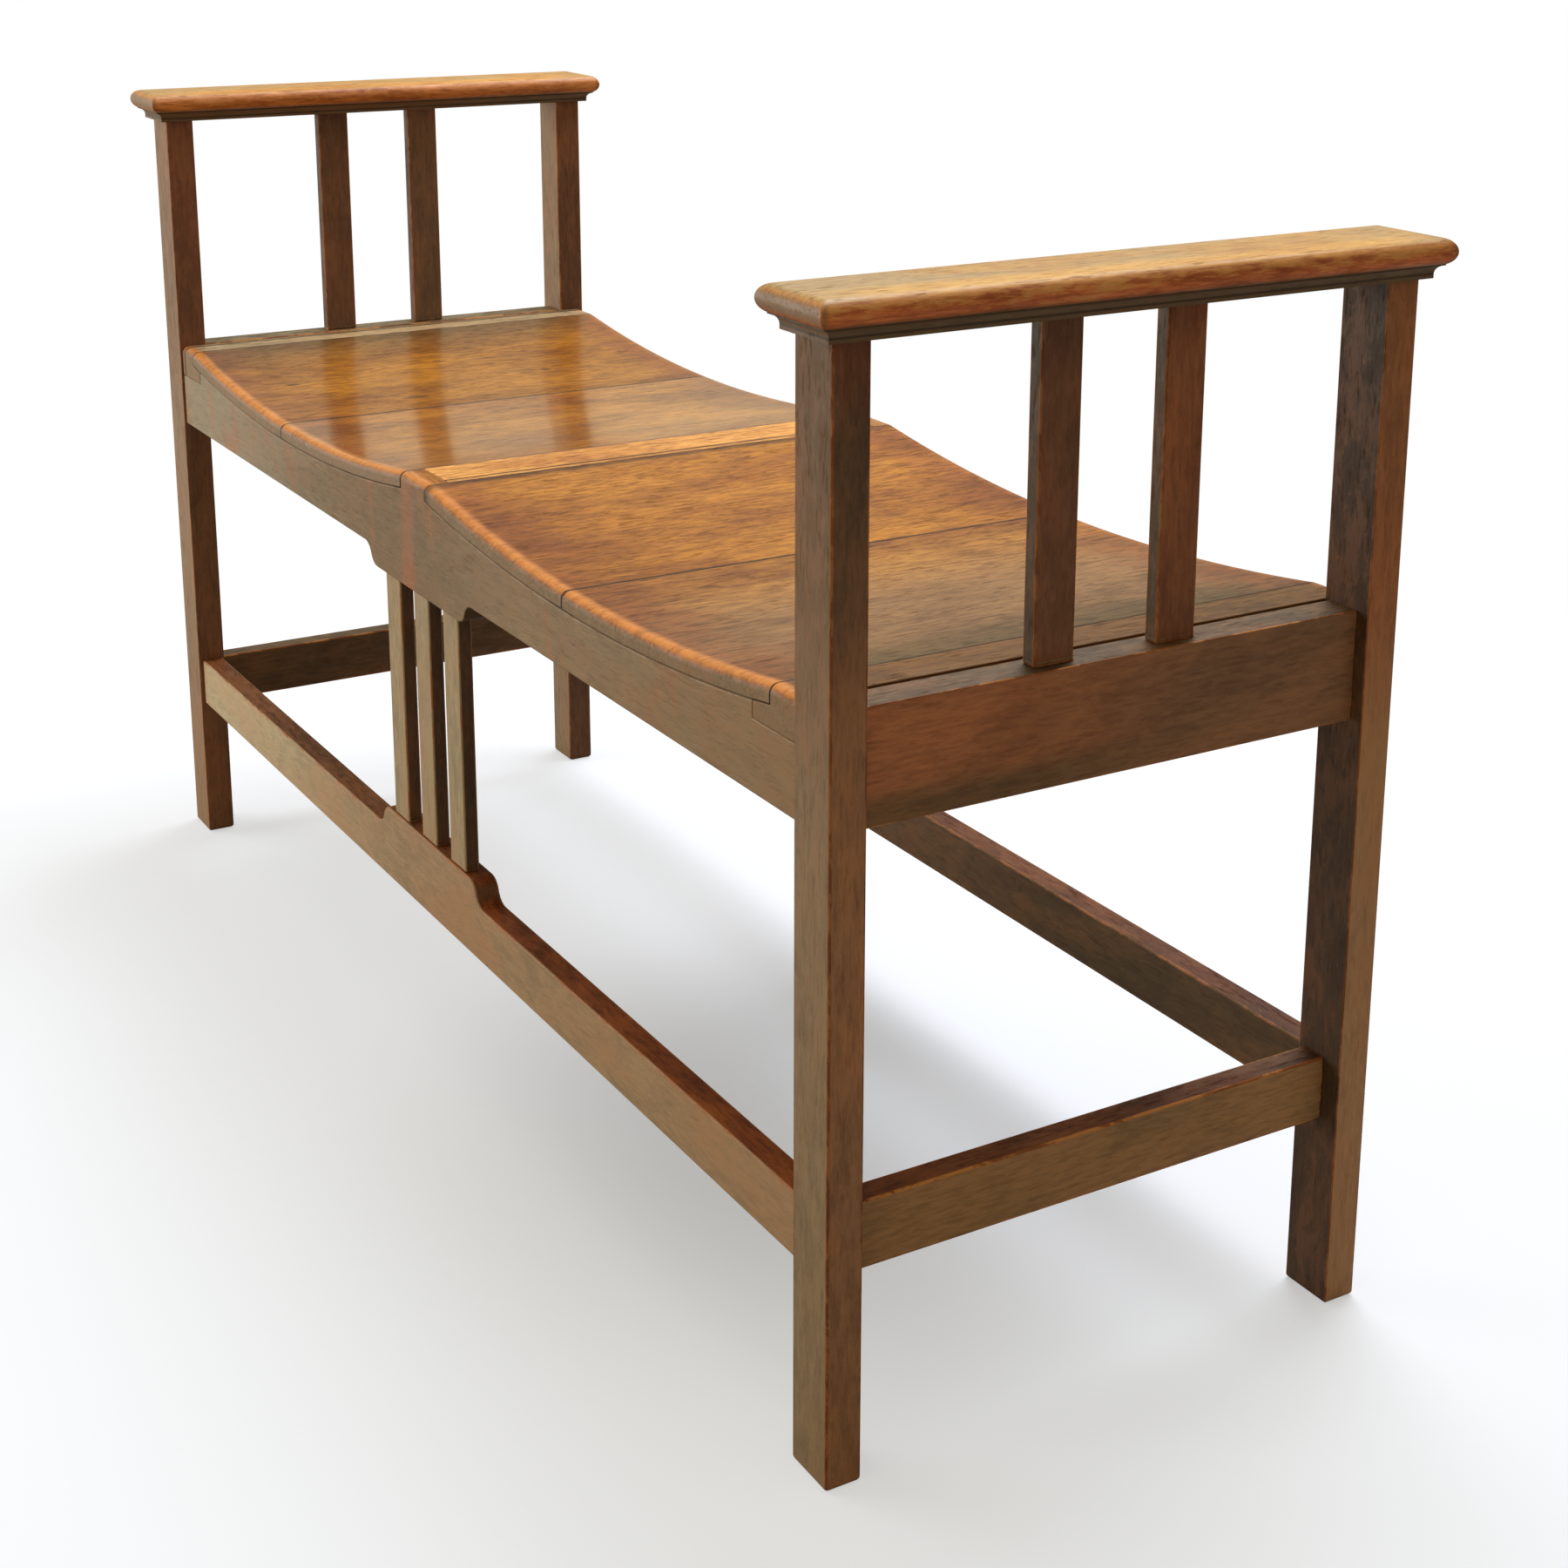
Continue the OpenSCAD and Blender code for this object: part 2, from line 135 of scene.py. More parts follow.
class Nodes:
    """Adds nodes to a material, a world or a group, and joins them."""

    def __init__(self, tree):
        self.tree = tree

    def add(self, kind, inputs=None, **settings):
        node = self.tree.nodes.new(kind)
        for name, value in settings.items():
            setattr(node, name, value)
        for name, value in (inputs or {}).items():
            self.feed(node.inputs[name], value)
        return node

    def feed(self, socket, value):
        if isinstance(value, bpy.types.NodeSocket):
            self.tree.links.new(value, socket)
        else:
            socket.default_value = value

    def calculate(self, operation, first, second=0.0, clamp=False):
        node = self.add("ShaderNodeMath", operation=operation, use_clamp=clamp)
        self.feed(node.inputs[0], first)
        self.feed(node.inputs[1], second)
        return node.outputs[0]

    def plus(self, first, second, clamp=False):
        return self.calculate("ADD", first, second, clamp)

    def minus(self, first, second):
        return self.calculate("SUBTRACT", first, second)

    def times(self, first, second):
        return self.calculate("MULTIPLY", first, second)

    def larger(self, first, second):
        return self.calculate("MAXIMUM", first, second)

    def size(self, value):
        return self.calculate("ABSOLUTE", value)

    def distance(self, first, second=(0, 0, 0)):
        node = self.add("ShaderNodeVectorMath", {0: first, 1: second}, operation="DISTANCE")
        return node.outputs["Value"]

    def ramp(self, value, low, high, to_low=0.0, to_high=1.0):
        """Goes smoothly from one result to the other while the value goes from low to high."""
        node = self.add("ShaderNodeMapRange", interpolation_type="SMOOTHSTEP")
        self.feed(node.inputs["Value"], value)
        self.feed(node.inputs["From Min"], low)
        self.feed(node.inputs["From Max"], high)
        self.feed(node.inputs["To Min"], to_low)
        self.feed(node.inputs["To Max"], to_high)
        return node.outputs["Result"]

    def mix(self, share, first, second):
        node = self.add("ShaderNodeMix", data_type="RGBA", blend_type="MIX", clamp_factor=True)
        self.feed(node.inputs[0], share)
        self.feed(node.inputs[6], first)
        self.feed(node.inputs[7], second)
        return node.outputs[2]

    def noise(self, vector, scale, detail, roughness, distortion=0.0):
        node = self.add("ShaderNodeTexNoise", {"Vector": vector, "Scale": scale, "Detail": detail,
                                               "Roughness": roughness, "Distortion": distortion})
        return node.outputs["Fac"]

    def stretch(self, vector, scale):
        return self.add("ShaderNodeMapping", {"Vector": vector, "Scale": scale}).outputs["Vector"]


def new_group(name, inputs, outputs):
    """An empty node group with named sockets. Inputs hold their kind and their value."""
    tree = bpy.data.node_groups.new(name, "ShaderNodeTree")
    for label, (kind, value) in inputs.items():
        socket = tree.interface.new_socket(label, in_out="INPUT", socket_type=kind)
        if value is not None:
            socket.default_value = value
    for label, kind in outputs.items():
        tree.interface.new_socket(label, in_out="OUTPUT", socket_type=kind)
    nodes = Nodes(tree)
    return nodes, nodes.add("NodeGroupInput"), nodes.add("NodeGroupOutput")


def grain_group():
    """Oak seen along Z: soft bands, fibres and short pores."""
    value, vector = "NodeSocketFloat", "NodeSocketVector"
    nodes, given, out = new_group("Oak grain", {"Vector": (vector, None)},
                                  {"Bands": value, "Fibres": value, "Pores": value, "Height": value})
    place = given.outputs["Vector"]
    bands = nodes.noise(nodes.stretch(place, (1, 1, 0.12)), 85, 5, 0.66, 0.5)
    bands = nodes.ramp(bands, 0.36, 0.64)
    nodes.feed(out.inputs["Bands"], bands)
    fibres = nodes.noise(nodes.stretch(place, (1, 1, 0.15)), 300, 6, 0.76, 0.3)
    fibres = nodes.ramp(fibres, 0.36, 0.64)
    nodes.feed(out.inputs["Fibres"], fibres)
    ticks = nodes.noise(nodes.stretch(place, (1, 1, 0.16)), 400, 2, 0.55)
    limit = nodes.minus(0.62, nodes.times(bands, 0.09))
    pores = nodes.ramp(nodes.minus(ticks, limit), 0.0, 0.07)
    nodes.feed(out.inputs["Pores"], pores)
    height = nodes.minus(nodes.times(fibres, 0.5), nodes.times(pores, 0.8))
    nodes.feed(out.inputs["Height"], height)
    return nodes.tree


def polish_group():
    """Masks for an old finish: wide clouds, small mottling and specks."""
    value, vector = "NodeSocketFloat", "NodeSocketVector"
    nodes, given, out = new_group("Old polish", {"Vector": (vector, None)},
                                  {"Clouds": value, "Mottling": value, "Specks": value})
    place = nodes.stretch(given.outputs["Vector"], (1, 1, 0.4))
    clouds = nodes.ramp(nodes.noise(place, 13, 3, 0.6, 0.5), 0.34, 0.66)
    nodes.feed(out.inputs["Clouds"], clouds)
    mottling = nodes.ramp(nodes.noise(place, 85, 6, 0.74, 0.3), 0.38, 0.64)
    nodes.feed(out.inputs["Mottling"], mottling)
    specks = nodes.ramp(nodes.noise(place, 330, 2, 0.6), 0.66, 0.74)
    nodes.feed(out.inputs["Specks"], specks)
    return nodes.tree


def colour_group():
    """Colour of the oak, from its grain, its finish and four paints."""
    value, colour = "NodeSocketFloat", "NodeSocketColor"
    masks = ("Bands", "Fibres", "Pores", "Clouds", "Mottling", "Pore share", "Contrast")
    inputs = {label: (value, 0.5) for label in masks}
    inputs.update({label: (colour, None) for label in ("Dark", "Middle", "Light", "Pore")})
    nodes, given, out = new_group("Oak colour", inputs, {"Colour": colour})
    given = given.outputs
    tone = nodes.plus(nodes.times(given["Fibres"], 0.45), nodes.times(given["Bands"], 0.25))
    tone = nodes.plus(tone, nodes.times(given["Mottling"], 0.3))
    tone = nodes.times(nodes.minus(tone, 0.5), nodes.times(given["Contrast"], 1.5))
    base = nodes.mix(nodes.plus(tone, 0.6, clamp=True), given["Dark"], given["Middle"])
    light = nodes.times(given["Clouds"], nodes.ramp(given["Fibres"], 0.0, 1.0, 0.35, 0.95))
    base = nodes.mix(light, base, given["Light"])
    base = nodes.mix(nodes.times(given["Pores"], given["Pore share"]), base, given["Pore"])
    nodes.feed(out.inputs["Colour"], base)
    return nodes.tree


def gloss_group():
    """Roughness of the finish: smoother where it is mottled and duller in the pores."""
    value = "NodeSocketFloat"
    inputs = {"Rough": (value, 0.5), "Mottling": (value, 0.5), "Pores": (value, 0.0)}
    nodes, given, out = new_group("Oak gloss", inputs, {"Roughness": value})
    change = nodes.times(nodes.minus(0.5, given.outputs["Mottling"]), 0.12)
    change = nodes.plus(change, nodes.times(given.outputs["Pores"], 0.2))
    nodes.feed(out.inputs["Roughness"], nodes.plus(given.outputs["Rough"], change, clamp=True))
    return nodes.tree


def line_group():
    """A line with soft sides: 1 within half of the middle, falling to 0 over the soft distance."""
    value = "NodeSocketFloat"
    inputs = {"Value": (value, 0.0), "Middle": (value, 0.0), "Half": (value, 0.001), "Soft": (value, 0.001)}
    nodes, given, out = new_group("Line", inputs, {"Mask": value})
    given = given.outputs
    apart = nodes.size(nodes.minus(given["Value"], given["Middle"]))
    outer = nodes.plus(given["Half"], given["Soft"])
    nodes.feed(out.inputs["Mask"], nodes.ramp(apart, given["Half"], outer, 1.0, 0.0))
    return nodes.tree


def seat_edge_group():
    """Masks of the seat: distance in from its long edges, the top, rubbed and bare wood, and the polish."""
    value = "NodeSocketFloat"
    inputs = {"Y": (value, 0.0), "Up": (value, 1.0), "Mottling": (value, 0.5), "Fibres": (value, 0.5)}
    outputs = {label: value for label in ("Inward", "Top", "Rubbed", "Bare", "Polish")}
    nodes, given, out = new_group("Seat edge", inputs, outputs)
    given = given.outputs
    inward = nodes.minus(-SEAT_FRONT, nodes.size(given["Y"]))
    nodes.feed(out.inputs["Inward"], inward)
    nodes.feed(out.inputs["Top"], nodes.ramp(given["Up"], 0.12, 0.6))
    rubbed = nodes.ramp(inward, 0.006, 0.012, 1.0, 0.0)
    rubbed = nodes.times(rubbed, nodes.ramp(given["Mottling"], 0.0, 0.8, 0.55, 1.0))
    toward_front = nodes.ramp(given["Y"], -0.1, 0.1, 1.0, 0.2)
    nodes.feed(out.inputs["Rubbed"], nodes.times(rubbed, toward_front))
    bare = nodes.times(nodes.ramp(inward, 0.0, 0.0025), nodes.ramp(inward, 0.005, 0.012, 1.0, 0.0))
    broken = nodes.ramp(nodes.plus(given["Mottling"], given["Fibres"]), 0.3, 1.5, 0.5, 0.9)
    broken = nodes.times(broken, toward_front)
    nodes.feed(out.inputs["Bare"], nodes.times(bare, broken))
    nodes.feed(out.inputs["Polish"], nodes.ramp(given["Up"], 0.93, 0.99))
    return nodes.tree


GRAIN = grain_group()
POLISH = polish_group()
COLOUR = colour_group()
GLOSS = gloss_group()
LINE = line_group()
EDGE = seat_edge_group()

# Turns that lay the grain of a piece along Z
ALONG = {"x": (0, math.radians(-90), 0), "y": (math.radians(90), 0, 0), "z": (0, 0, 0)}


class Oak:
    """An oak material in the making, with its grain along one axis."""

    def __init__(self, name, along, shift):
        self.material = bpy.data.materials.new(name)
        self.material.use_nodes = True
        self.nodes = Nodes(self.material.node_tree)
        self.surface = self.material.node_tree.nodes["Principled BSDF"]
        coordinates = self.nodes.add("ShaderNodeTexCoord")
        self.place = coordinates.outputs["Object"]
        laid = self.nodes.add("ShaderNodeMapping", {"Vector": self.place, "Rotation": ALONG[along],
                                                    "Location": tuple(part * shift for part in GRAIN_SHIFT)})
        self.laid = laid.outputs["Vector"]
        self.grain = self.group(GRAIN, {"Vector": self.laid})
        self.polish = self.group(POLISH, {"Vector": self.laid})
        facing = self.nodes.add("ShaderNodeSeparateXYZ", {"Vector": coordinates.outputs["Normal"]})
        self.up = facing.outputs["Z"]
        self.forward = self.nodes.size(facing.outputs["Y"])
        split = self.nodes.add("ShaderNodeSeparateXYZ", {"Vector": self.place})
        self.x, self.y, self.z = split.outputs[0], split.outputs[1], split.outputs[2]

    def group(self, tree, inputs):
        return self.nodes.add("ShaderNodeGroup", inputs, node_tree=tree).outputs

    def wood(self, colours, contrast=0.42, pore_share=0.1):
        """Wood colour: one set of paints, or two sets that change along the piece."""
        if isinstance(colours, dict):
            first = self.wood(colours["first"], contrast, pore_share)
            second = self.wood(colours["second"], contrast, pore_share)
            share = self.nodes.ramp(getattr(self, colours["along"]), colours["start"], colours["stop"])
            return self.nodes.mix(share, first, second)
        inputs = {label: self.grain[label] for label in ("Bands", "Fibres", "Pores")}
        inputs.update({label: self.polish[label] for label in ("Clouds", "Mottling")})
        inputs.update(zip(("Dark", "Middle", "Light", "Pore"), colours))
        inputs["Pore share"] = pore_share
        inputs["Contrast"] = contrast
        return self.group(COLOUR, inputs)["Colour"]

    def near(self, value, middle, half, soft):
        """A line with soft sides where the value is near its middle."""
        return self.group(LINE, {"Value": value, "Middle": middle, "Half": half, "Soft": soft})["Mask"]

    def spot(self, x, y, length, half, soft=0.002):
        """A small spot on a top, longer along Y."""
        across = self.nodes.minus(self.x, x)
        along = self.nodes.calculate("DIVIDE", self.nodes.minus(self.y, y), length)
        away = self.nodes.add("ShaderNodeCombineXYZ", {"X": across, "Y": along}).outputs["Vector"]
        return self.near(self.nodes.distance(away), 0.0, half, soft)

    def finish(self, colour, rough, coat, specular, coated=None):
        """Gives the wood its colour, gloss and relief. A mask may keep the polish to some faces."""
        nodes = self.nodes
        nodes.feed(self.surface.inputs["Base Color"], colour)
        gloss = {"Rough": rough, "Mottling": self.polish["Mottling"], "Pores": self.grain["Pores"]}
        nodes.feed(self.surface.inputs["Roughness"], self.group(GLOSS, gloss)["Roughness"])
        self.surface.inputs["Specular IOR Level"].default_value = specular
        nodes.feed(self.surface.inputs["Coat Weight"], nodes.times(coated, coat) if coated else coat)
        self.surface.inputs["Coat Roughness"].default_value = POLISH_ROUGH
        bump = nodes.add("ShaderNodeBump", {"Strength": GRAIN_STRENGTH, "Distance": GRAIN_DEPTH,
                                            "Height": self.grain["Height"]})
        nodes.feed(self.surface.inputs["Normal"], bump.outputs["Normal"])
        return self.material


# Colours: dark, middle, light and pores
BROWN = (paint(74, 43, 27), paint(122, 82, 53), paint(130, 82, 51), paint(36, 23, 16))
RED = (paint(80, 39, 22), paint(132, 76, 47), paint(146, 82, 49), paint(38, 21, 13))
DARK = (paint(52, 35, 26), paint(86, 63, 44), paint(94, 64, 44), paint(28, 19, 14))
SMOKED = (paint(68, 42, 28), paint(110, 74, 49), paint(118, 74, 49), paint(34, 21, 14))
TAN = (paint(104, 72, 47), paint(154, 115, 81), paint(146, 101, 64), paint(60, 41, 29))
OLIVE = (paint(105, 83, 60), paint(150, 125, 94), paint(146, 109, 78), paint(64, 48, 36))
GOLD = (paint(94, 44, 12), paint(158, 92, 20), paint(198, 130, 40), paint(56, 26, 10))
RUST = (paint(78, 33, 11), paint(128, 66, 27), paint(150, 82, 36), paint(44, 23, 11))
HONEY = (paint(142, 90, 36), paint(204, 150, 72), paint(214, 164, 90), paint(92, 52, 22))
FADED = (paint(112, 88, 54), paint(166, 136, 92), paint(172, 142, 98), paint(74, 54, 32))
GREY = (paint(44, 35, 26), paint(84, 69, 52), paint(96, 72, 50), paint(26, 20, 15))
STRIP = (paint(90, 61, 34), paint(140, 104, 62), paint(152, 108, 62), paint(50, 33, 18))
DULL = (paint(88, 62, 40), paint(132, 98, 66), paint(140, 104, 70), paint(60, 40, 26))
NOSE = (paint(110, 64, 34), paint(164, 102, 54), paint(172, 110, 60), paint(76, 46, 26))
ORANGE = paint(206, 134, 70)
WORN = paint(160, 100, 58)
WAX = paint(150, 138, 108)
SEAM = paint(26, 15, 8)


def shade(colours, red, green=None, blue=None):
    """The same colours, lighter or darker, and where asked for in another tint."""
    times = (red, red if green is None else green, red if blue is None else blue)
    return tuple((*(part * many for part, many in zip(colour, times)), 1) for colour in colours)


def change(along, start, stop, first, second):
    """Colours that change from the first set to the second between two places."""
    return {"along": along, "start": start, "stop": stop, "first": first, "second": second}


def frame_oak(name, along, shift, ends, fronts, tops):
    """The dark oak of the frame: one set of colours for each way that a face looks. Besides the wood's own
    tone, these sets hold painted light and shade, each face as light or dark as it is lit.
    """
    oak = Oak(name, along, shift)
    nodes = oak.nodes
    # Painted light and shade: ends, fronts and tops get their own colours, partly the wood's own tone,
    # partly how brightly each face is lit.
    colour = oak.wood(ends)
    colour = nodes.mix(nodes.ramp(oak.forward, 0.4, 0.8), colour, oak.wood(fronts))
    colour = nodes.mix(nodes.ramp(oak.up, 0.5, 0.9), colour, oak.wood(tops, 0.9, 0.3))
    patchy = nodes.plus(oak.polish["Mottling"], nodes.times(oak.polish["Clouds"], 0.6))
    colour = nodes.mix(nodes.ramp(patchy, 0.7, 1.35, 0.0, 0.16), colour, WORN)
    colour = nodes.mix(nodes.ramp(patchy, 0.2, 0.7, 0.06, 0.0), colour, SEAM)
    colour = nodes.mix(nodes.times(oak.polish["Specks"], 0.26), colour, WORN)
    if "slat" in name:
        colour = slat_foot(oak, colour)
    return oak.finish(colour, 0.55, 0.0, 0.3)


def slat_foot(oak, colour):
    """The foot of an arm slat: a dark seam where it meets its rail, and a broken line of old wax above."""
    nodes = oak.nodes
    wax = nodes.times(oak.near(oak.z, SEAT_TOP + 0.0022, 0.0003, 0.0005), oak.polish["Mottling"])
    colour = nodes.mix(nodes.times(wax, 0.5), colour, WAX)
    seam = oak.near(oak.z, SEAT_TOP, 0.001, 0.0012)
    return nodes.mix(nodes.times(seam, 0.75), colour, SEAM)


def worn_edge(name, along, shift, base, rubbed_to):
    """The eased edges of the frame, rubbed in places to lighter wood."""
    oak = Oak(name, along, shift)
    rubbed = oak.nodes.ramp(oak.polish["Mottling"], 0.2, 0.8, 0.15, 0.95)
    return oak.finish(oak.nodes.mix(rubbed, oak.wood(base), rubbed_to), 0.55, 0.0, 0.25)


def rust_patches(oak, edge, board):
    """A mask for the rust patches on a board, which gather along its front and rear edges."""
    nodes = oak.nodes
    cloud = nodes.noise(nodes.stretch(oak.laid, (1, 1, 0.6)), 10, 4, 0.65, 0.5)
    reach = nodes.minus(edge["Inward"], nodes.times(cloud, 0.16))
    strength = 0.95 if board[0].x < 0 else 0.72
    patches = nodes.ramp(reach, -0.075, -0.01, strength, 0.0)
    return nodes.times(patches, nodes.ramp(oak.polish["Mottling"], 0.0, 0.7, 0.5, 1.0))


def seat_top(oak, edge, colours, board, spots):
    """The top of the seat: rust patches on a board, small dark spots, and a rubbed edge."""
    nodes = oak.nodes
    top = oak.wood(colours, 0.95, 0.4)
    if board:
        top = nodes.mix(rust_patches(oak, edge, board), top, oak.wood(RUST, 0.9, 0.4))
    for x, y, length, half in spots:
        top = nodes.mix(nodes.times(oak.spot(x, y, length, half), 0.75), top, SEAM)
    top = nodes.mix(edge["Rubbed"], top, oak.wood(NOSE, 0.7))
    return nodes.mix(edge["Bare"], top, ORANGE)


def reddish_front(oak, front, middle, half):
    """The front of the front rail: reddish smudges, and a reddish patch across its middle."""
    nodes = oak.nodes
    reddish = oak.wood(shade(TAN, 1.6, 1.1, 0.9))
    smudges = nodes.noise(nodes.stretch(oak.laid, (0.25, 1, 1)), 26, 3, 0.6, 0.4)
    front = nodes.mix(nodes.ramp(smudges, 0.52, 0.72, 0.0, 0.5), front, reddish)
    patch = nodes.ramp(oak.polish["Clouds"], 0.0, 1.0, 0.35, 0.7)
    patch = nodes.times(oak.near(oak.x, middle, half, 0.012), patch)
    return nodes.mix(patch, front, reddish)


def board_seams(oak, edge, board, share, colour):
    """Dark seam lines at the ends and along the bottom of a board, a painted shadow along the end of the
    inner right board beside the divider, and light wood below its top edge.
    """
    nodes = oak.nodes
    low, high = board
    side = 1 if low.x > 0 else -1
    from_middle = nodes.size(nodes.minus(oak.x, (low.x + high.x) / 2))
    from_end = nodes.minus((high.x - low.x) / 2, from_middle)
    seams_and_shadow = nodes.ramp(from_end, 0.0006, nodes.ramp(edge["Top"], 0.0, 1.0, 0.0014, 0.0024), 1.0, 0.0)
    # Painted shadow along the end of the inner right board, beside the divider; it joins the seam lines.
    if low.x == DIP_START:
        shadow = nodes.ramp(nodes.minus(oak.x, low.x), 0.003, 0.012, 0.95, 0.0)
        shadow = nodes.times(shadow, nodes.ramp(oak.grain["Bands"], 0.0, 0.8, 0.6, 1.0))
        seams_and_shadow = nodes.larger(seams_and_shadow, shadow)
    flat = nodes.add("ShaderNodeCombineXYZ", {"X": oak.x, "Z": oak.z}).outputs["Vector"]
    reach = nodes.distance(flat, (side * DIP_MIDDLE, 0, DIP_LOW + DIP_RADIUS))
    from_bottom = nodes.minus(DIP_RADIUS + BOARD_THICK, reach)
    under = nodes.ramp(from_bottom, 0.0004, 0.0014, 1.0, 0.0)
    under = nodes.times(under, nodes.ramp(from_end, 0.008, 0.03, 1.0, 0.25))
    from_top = nodes.minus(BOARD_THICK, from_bottom)
    lit_edge = nodes.ramp(from_top, 0.0015, 0.0045, 0.8 if side > 0 else 0.45, 0.0)
    lit_edge = nodes.times(nodes.times(lit_edge, edge["Bare"]), nodes.minus(1.0, share))
    colour = nodes.mix(lit_edge, colour, ORANGE)
    return nodes.mix(nodes.times(nodes.larger(seams_and_shadow, under), 0.8), colour, SEAM)


def seat_oak(name, along, shift, colours=GOLD, fronts=OLIVE, coat=0.5, rough=0.4, lines=(), board=None,
             spots=(), red=None):
    """Oak of the seat: golden on top, rubbed orange at the edge and olive in front. On the rails and strips,
    faces that look neither up nor to the front or back are darkened as painted shade.
    """
    oak = Oak(name, along, shift)
    nodes = oak.nodes
    edge = oak.group(EDGE, {"Y": oak.y, "Up": oak.up, "Mottling": oak.polish["Mottling"],
                            "Fibres": oak.grain["Fibres"]})
    top = seat_top(oak, edge, colours, board, spots)
    share = edge["Top"]
    front = oak.wood(fronts)
    if red:
        front = reddish_front(oak, front, *red)
    if not board:
        share = nodes.times(share, nodes.ramp(oak.z, SEAT_TOP - 0.009, SEAT_TOP - 0.006))
        # Painted shade: the sides and undersides of the rails and strips are darkened.
        shaded_side = oak.wood(shade(OLIVE, 0.38, 0.32, 0.26))
        front = nodes.mix(nodes.ramp(oak.forward, 0.4, 0.9), shaded_side, front)
    colour = nodes.mix(share, front, top)
    if board:
        colour = board_seams(oak, edge, board, share, colour)
    for x in lines:
        colour = nodes.mix(nodes.times(oak.near(oak.x, x, 0.001, 0.0012), 0.85), colour, SEAM)
    return oak.finish(colour, rough, coat, 0.16, coated=edge["Polish"])


def arm_oak(name, shift, colours, under, cracks):
    """Oak of the arm rails: golden on top and faded inside, mottled on the nosing, olive at the ends.
    Painted shade darkens the cove and the creases of the moulding, and in part the low side of the nosing.
    """
    low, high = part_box(name)
    oak = Oak(name, "y", shift)
    nodes = oak.nodes
    from_side = nodes.minus(high.x, oak.x)
    from_middle = nodes.size(oak.y)
    height = nodes.minus(oak.z, low.z)
    faded = nodes.ramp(oak.polish["Clouds"], 0.0, 0.8, 0.25, 0.9)
    faded = nodes.times(nodes.ramp(from_side, 0.014, 0.034), faded)
    faded = nodes.larger(faded, nodes.ramp(from_middle, high.y - 0.06, high.y - 0.01, 0.0, 0.6))
    top = nodes.mix(faded, oak.wood(colours, 0.6, 0.4), oak.wood(FADED, 0.6, 0.4))
    for x, y, length, half in cracks:
        top = nodes.mix(nodes.times(oak.spot(x, y, length, half, 0.0008), 0.8), top, SEAM)
    # Low on the nosing the colour goes to the darker paints: partly the wood's own tone, partly painted
    # shade where the nosing turns down. Higher up it is rubbed lighter in mottled patches.
    rubbed = nodes.plus(nodes.times(oak.polish["Mottling"], 0.6), oak.grain["Fibres"])
    rubbed = nodes.plus(rubbed, nodes.ramp(height, ARM_THICK * 0.5, ARM_THICK * 0.98, -0.45, 0.8))
    bright = oak.wood(shade(colours, 1.0, 0.8, 1.2), 0.9)
    nosing = nodes.mix(nodes.ramp(rubbed, 0.4, 1.5), oak.wood(under, 0.9), bright)
    high_up = nodes.ramp(height, ARM_THICK * 0.75, ARM_THICK * 0.98)
    ends = nodes.mix(high_up, oak.wood(OLIVE), oak.wood(FADED, 0.6))
    nosing = nodes.mix(nodes.ramp(oak.forward, 0.6, 0.98), nosing, ends)
    corner = nodes.ramp(from_middle, high.y - 0.006, high.y - 0.002)
    corner = nodes.times(corner, nodes.ramp(from_side, 0.002, 0.006, 0.9, 0.0))
    nosing = nodes.mix(corner, nosing, oak.wood(NOSE, 0.7))
    colour = nodes.mix(nodes.ramp(oak.up, 0.6, 0.97), nosing, top)
    # Painted shade: the cove under the nosing is darkened.
    cove_shade = nodes.ramp(height, COVE_TOP, COVE_TOP + 0.004, 1.0, 0.0)
    colour = nodes.mix(cove_shade, colour, oak.wood(shade(OLIVE, 0.62, 0.6, 0.58)))
    # Painted shade: dark lines in the creases at the steps of the moulding.
    for step in (FILLET_HEIGHT, COVE_TOP):
        colour = nodes.mix(nodes.times(oak.near(height, step, 0.0004, 0.0006), 0.6), colour, SEAM)
    return oak.finish(colour, 0.5, 0.08, 0.25)


# Colours of single faces of the frame that follow the photograph most closely
LEFT_POST_SIDE = change("z", 0.3, 0.6, shade(BROWN, 1.3), shade(BROWN, 1.2, 1.15, 1.35))
LEFT_POST_FRONT = change("z", 0.35, 0.55, OLIVE, shade(OLIVE, 0.92, 0.76, 0.66))
# Lighter low down on the side of the near front post: painted light bounced up from the floor, over the
# wood's own tone.
RIGHT_POST_LOW = change("z", 0.40, 0.60, shade(BROWN, 2.15, 2.4, 2.75), shade(DARK, 1.45))
RIGHT_POST_SIDE = change("z", 0.62, 0.69, RIGHT_POST_LOW, RED)
# Darker high up on the front of the near front post: painted shade under the arm rail.
RIGHT_POST_FRONT = change("z", 0.35, 0.65, shade(OLIVE, 1.08), shade(OLIVE, 0.58, 0.46, 0.28))
# Lighter low down on the side of the rear right post: painted light bounced up from the floor, over the
# wood's own tone.
REAR_POST_SIDE = change("z", 0.36, 0.50, shade(TAN, 1.7, 1.75, 1.9), shade(BROWN, 2.1, 1.85, 1.65))
REAR_POST_FRONT = change("z", 0.40, 0.50, DARK, shade(DARK, 0.5, 0.43, 0.26))
ARM_SLAT_SIDE = change("z", 0.50, 0.60, shade(RED, 0.95, 1.05, 1.1), shade(RED, 1.45, 1.55, 1.5))
ARM_SLAT_FRONT = shade(OLIVE, 0.28, 0.25, 0.17)
CENTRE_SLAT_SIDE = shade(SMOKED, 0.85, 0.98, 1.0)
CENTRE_SLAT_FRONT = shade(OLIVE, 1.42, 1.6, 1.62)
